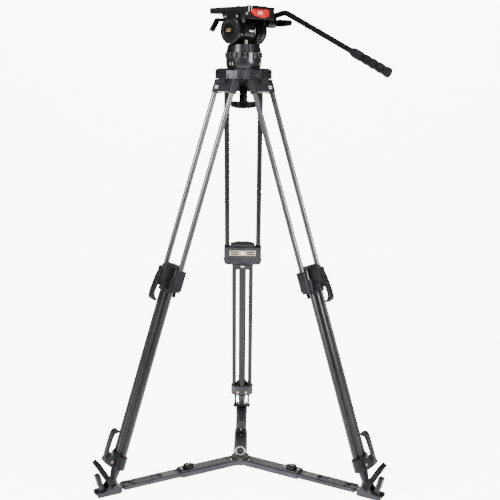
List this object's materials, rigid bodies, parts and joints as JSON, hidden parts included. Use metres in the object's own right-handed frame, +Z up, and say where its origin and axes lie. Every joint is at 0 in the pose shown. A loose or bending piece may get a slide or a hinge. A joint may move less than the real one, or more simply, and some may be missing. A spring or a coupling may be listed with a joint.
{
  "type": "fluid-head tripod",
  "caption": "Twin-tube telescopic tripod with a fluid head, a pan bar with a grip, and a folding ground spreader.",
  "frame": {"origin": "on the floor under the middle of the spreader, on the tripod's axis", "axes": "+Z up, +Y towards the rear leg, +X to the right seen from the front"},
  "size_m": [0.8306, 0.7382, 1.3585],
  "materials": {
    "cast_black": "satin black paint on castings",
    "head_black": "fine textured black paint",
    "spreader_black": "satin black, worn at the edges",
    "anodised_black": "black anodised",
    "carbon": "clear-coated woven carbon fibre",
    "black_plastic": "matte moulded",
    "red_plastic": "satin moulded",
    "grip_rubber": "matte",
    "strap_rubber": "matte",
    "steel": "brushed"
  },
  "bodies": {
    "crown": {"crown": "cast_black"},
    "ball": {"half_ball": "cast_black"},
    "tie_knob": {"tie_down_knob": "black_plastic"},
    "pan_drag": {"pan_drag_ring": "black_plastic"},
    "pan": {"pan_base": "head_black", "bubble_level": "steel", "tilt_housing": "head_black"},
    "pan_lock": {"pan_lock_lever": "black_plastic"},
    "counterbalance": {"counterbalance_dial": "black_plastic"},
    "tilt_drag": {"tilt_drag_ring": "black_plastic"},
    "tilt": {"tilt_frame": "head_black", "side_covers": "head_black", "tilt_shaft": "steel"},
    "tilt_lock": {"tilt_lock_lever": "black_plastic"},
    "plate": {"camera_plate": "head_black", "camera_screws": "steel"},
    "plate_lever": {"plate_lock_lever": "red_plastic"},
    "release": {"plate_release_button": "steel"},
    "bar": {"pan_bar_clamp": "head_black", "pan_bar": "anodised_black", "pan_bar_grip": "grip_rubber"},
    "bar_wing": {"pan_bar_wing": "black_plastic"},
    "spreader": {"spreader_hub": "spreader_black"},
    "ring": {"hub_ring": "steel"},
    "leg_1": {"leg_shoulder_1": "cast_black", "upper_tubes_1": "carbon", "upper_clamp_1": "cast_black"},
    "lower_1": {"lower_leg_1": "carbon"},
    "mid_1": {"mid_tubes_1": "carbon", "lower_clamp_1": "cast_black"},
    "upper_lever_1": {"upper_lever_1": "black_plastic"},
    "lower_lever_1": {"lower_lever_1": "black_plastic"},
    "arm_1": {"arm_outer_1": "spreader_black", "shoe_1": "spreader_black"},
    "arm_knob_1": {"arm_knob_1": "black_plastic"},
    "strap_1": {"foot_strap_1": "strap_rubber"},
    "leg_2": {"leg_shoulder_2": "cast_black", "upper_tubes_2": "carbon", "upper_clamp_2": "cast_black"},
    "lower_2": {"lower_leg_2": "carbon"},
    "mid_2": {"mid_tubes_2": "carbon", "lower_clamp_2": "cast_black"},
    "upper_lever_2": {"upper_lever_2": "black_plastic"},
    "lower_lever_2": {"lower_lever_2": "black_plastic"},
    "arm_2": {"arm_outer_2": "spreader_black", "shoe_2": "spreader_black"},
    "arm_knob_2": {"arm_knob_2": "black_plastic"},
    "strap_2": {"foot_strap_2": "strap_rubber"},
    "leg_3": {"leg_shoulder_3": "cast_black", "upper_tubes_3": "carbon", "upper_clamp_3": "cast_black"},
    "lower_3": {"lower_leg_3": "carbon"},
    "mid_3": {"mid_tubes_3": "carbon", "lower_clamp_3": "cast_black"},
    "upper_lever_3": {"upper_lever_3": "black_plastic"},
    "lower_lever_3": {"lower_lever_3": "black_plastic"},
    "arm_3": {"arm_outer_3": "spreader_black", "shoe_3": "spreader_black"},
    "arm_knob_3": {"arm_knob_3": "black_plastic"},
    "strap_3": {"foot_strap_3": "strap_rubber"}
  },
  "joints": [
    {"name": "ball_level", "type": "hinge", "parent": "crown", "child": "ball", "pos_m": [0, 0, 1.203], "axis": [1, 0, 0], "range_deg": [-8, 8]},
    {"name": "tie_knob_turn", "type": "hinge", "parent": "ball", "child": "tie_knob", "pos_m": [0, 0, 1.09], "axis": [0, 0, 1], "continuous": true},
    {"name": "pan_drag_turn", "type": "hinge", "parent": "ball", "child": "pan_drag", "pos_m": [0, 0, 1.22], "axis": [0, 0, 1], "range_deg": [-100, 100]},
    {"name": "pan", "type": "hinge", "parent": "ball", "child": "pan", "pos_m": [0, 0, 1.24], "axis": [0, 0, 1], "continuous": true},
    {"name": "pan_lock_turn", "type": "hinge", "parent": "pan", "child": "pan_lock", "pos_m": [-0.01323, 0.04614, 1.2384], "axis": [-0.2756, 0.9613, 0], "range_deg": [0, 60]},
    {"name": "counterbalance_turn", "type": "hinge", "parent": "pan", "child": "counterbalance", "pos_m": [-0.02501, -0.0259, 1.288], "axis": [0.6947, 0.7193, 0], "range_deg": [0, 240]},
    {"name": "tilt_drag_turn", "type": "hinge", "parent": "pan", "child": "tilt_drag", "pos_m": [0.02084, 0.02158, 1.288], "axis": [0.6947, 0.7193, 0], "range_deg": [0, 240]},
    {"name": "tilt", "type": "hinge", "parent": "pan", "child": "tilt", "pos_m": [0, 0, 1.288], "axis": [0.6947, 0.7193, 0], "range_deg": [-60, 50]},
    {"name": "tilt_lock_turn", "type": "hinge", "parent": "tilt", "child": "tilt_lock", "pos_m": [-0.0671, -0.00471, 1.317], "axis": [-0.7193, 0.6947, 0], "range_deg": [0, 40]},
    {"name": "plate_slide", "type": "slide", "parent": "tilt", "child": "plate", "axis": [-0.7193, 0.6947, 0], "range_m": [-0.035, 0.035]},
    {"name": "plate_lever_turn", "type": "hinge", "parent": "tilt", "child": "plate_lever", "pos_m": [0.06368, -0.04203, 1.33], "axis": [0, 0, 1], "range_deg": [0, 70]},
    {"name": "release_press", "type": "slide", "parent": "tilt", "child": "release", "axis": [0.6947, 0.7193, 0], "range_m": [0, 0.003], "stiffness_N_per_m": 400, "springref_m": -0.002},
    {"name": "bar_angle", "type": "hinge", "parent": "tilt", "child": "bar", "pos_m": [0.07596, 0.02396, 1.311], "axis": [-0.6947, -0.7193, 0], "range_deg": [-15, 60]},
    {"name": "bar_wing_turn", "type": "hinge", "parent": "tilt", "child": "bar_wing", "pos_m": [0.08638, 0.03475, 1.311], "axis": [0.6947, 0.7193, 0], "range_deg": [0, 150]},
    {"name": "spreader_drop", "type": "slide", "parent": "crown", "child": "spreader", "axis": [0, 0, -1], "range_m": [0, 0.03]},
    {"name": "hub_ring_swing", "type": "hinge", "parent": "spreader", "child": "ring", "pos_m": [0, -0.002, 0.0262], "axis": [1, 0, 0], "range_deg": [-45, 45]},
    {"name": "leg_1_fold", "type": "hinge", "parent": "crown", "child": "leg_1", "pos_m": [-0.05369, -0.031, 1.1635], "axis": [0.5, -0.866, 0], "range_deg": [0, 5]},
    {"name": "lower_1_slide", "type": "slide", "parent": "leg_1", "child": "lower_1", "axis": [0.2662, 0.1537, 0.9516], "range_m": [0, 0.36]},
    {"name": "mid_1_slide", "type": "slide", "parent": "lower_1", "child": "mid_1", "axis": [-0.2662, -0.1537, -0.9516], "range_m": [-0.36, 0]},
    {"name": "upper_lever_1_turn", "type": "hinge", "parent": "leg_1", "child": "upper_lever_1", "pos_m": [-0.21905, -0.12647, 0.63613], "axis": [-0.5, 0.866, 0], "range_deg": [0, 100]},
    {"name": "lower_lever_1_turn", "type": "hinge", "parent": "mid_1", "child": "lower_lever_1", "pos_m": [-0.37524, -0.21664, 0.1038], "axis": [0.5, -0.866, 0], "range_deg": [0, 80]},
    {"name": "arm_1_slide", "type": "slide", "parent": "spreader", "child": "arm_1", "axis": [0.866, 0.5, 0], "range_m": [0, 0.102]},
    {"name": "arm_knob_1_turn", "type": "hinge", "parent": "spreader", "child": "arm_knob_1", "pos_m": [-0.15329, -0.0885, 0.028], "axis": [0, 0, 1], "continuous": true},
    {"name": "strap_1_turn", "type": "hinge", "parent": "arm_1", "child": "strap_1", "pos_m": [-0.36226, -0.20915, 0.0265], "axis": [0.5, -0.866, 0], "range_deg": [-5, 5]},
    {"name": "leg_2_fold", "type": "hinge", "parent": "crown", "child": "leg_2", "pos_m": [0.05369, -0.031, 1.1635], "axis": [0.5, 0.866, 0], "range_deg": [0, 5]},
    {"name": "lower_2_slide", "type": "slide", "parent": "leg_2", "child": "lower_2", "axis": [-0.2662, 0.1537, 0.9516], "range_m": [0, 0.36]},
    {"name": "mid_2_slide", "type": "slide", "parent": "lower_2", "child": "mid_2", "axis": [0.2662, -0.1537, -0.9516], "range_m": [-0.36, 0]},
    {"name": "upper_lever_2_turn", "type": "hinge", "parent": "leg_2", "child": "upper_lever_2", "pos_m": [0.21905, -0.12647, 0.63613], "axis": [-0.5, -0.866, 0], "range_deg": [0, 100]},
    {"name": "lower_lever_2_turn", "type": "hinge", "parent": "mid_2", "child": "lower_lever_2", "pos_m": [0.37524, -0.21664, 0.1038], "axis": [0.5, 0.866, 0], "range_deg": [0, 80]},
    {"name": "arm_2_slide", "type": "slide", "parent": "spreader", "child": "arm_2", "axis": [-0.866, 0.5, 0], "range_m": [0, 0.102]},
    {"name": "arm_knob_2_turn", "type": "hinge", "parent": "spreader", "child": "arm_knob_2", "pos_m": [0.15329, -0.0885, 0.028], "axis": [0, 0, 1], "continuous": true},
    {"name": "strap_2_turn", "type": "hinge", "parent": "arm_2", "child": "strap_2", "pos_m": [0.36226, -0.20915, 0.0265], "axis": [0.5, 0.866, 0], "range_deg": [-5, 5]},
    {"name": "leg_3_fold", "type": "hinge", "parent": "crown", "child": "leg_3", "pos_m": [0, 0.062, 1.1635], "axis": [-1, 0, 0], "range_deg": [0, 5]},
    {"name": "lower_3_slide", "type": "slide", "parent": "leg_3", "child": "lower_3", "axis": [0, -0.3074, 0.9516], "range_m": [0, 0.36]},
    {"name": "mid_3_slide", "type": "slide", "parent": "lower_3", "child": "mid_3", "axis": [0, 0.3074, -0.9516], "range_m": [-0.36, 0]},
    {"name": "upper_lever_3_turn", "type": "hinge", "parent": "leg_3", "child": "upper_lever_3", "pos_m": [0, 0.25294, 0.63613], "axis": [1, 0, 0], "range_deg": [0, 100]},
    {"name": "lower_lever_3_turn", "type": "hinge", "parent": "mid_3", "child": "lower_lever_3", "pos_m": [0, 0.43328, 0.1038], "axis": [-1, 0, 0], "range_deg": [0, 80]},
    {"name": "arm_3_slide", "type": "slide", "parent": "spreader", "child": "arm_3", "axis": [0, -1, 0], "range_m": [0, 0.102]},
    {"name": "arm_knob_3_turn", "type": "hinge", "parent": "spreader", "child": "arm_knob_3", "pos_m": [0, 0.177, 0.028], "axis": [0, 0, 1], "continuous": true},
    {"name": "strap_3_turn", "type": "hinge", "parent": "arm_3", "child": "strap_3", "pos_m": [0, 0.4183, 0.0265], "axis": [-1, 0, 0], "range_deg": [-5, 5]}
  ],
  "couplings": [
    {"joint": "arm_1_slide", "follows": "leg_1_fold", "m_per_rad": 1.15},
    {"joint": "leg_2_fold", "follows": "leg_1_fold", "ratio": 1},
    {"joint": "arm_2_slide", "follows": "leg_1_fold", "m_per_rad": 1.15},
    {"joint": "leg_3_fold", "follows": "leg_1_fold", "ratio": 1},
    {"joint": "arm_3_slide", "follows": "leg_1_fold", "m_per_rad": 1.15},
    {"joint": "spreader_drop", "follows": "leg_1_fold", "m_per_rad": 0.314}
  ]
}
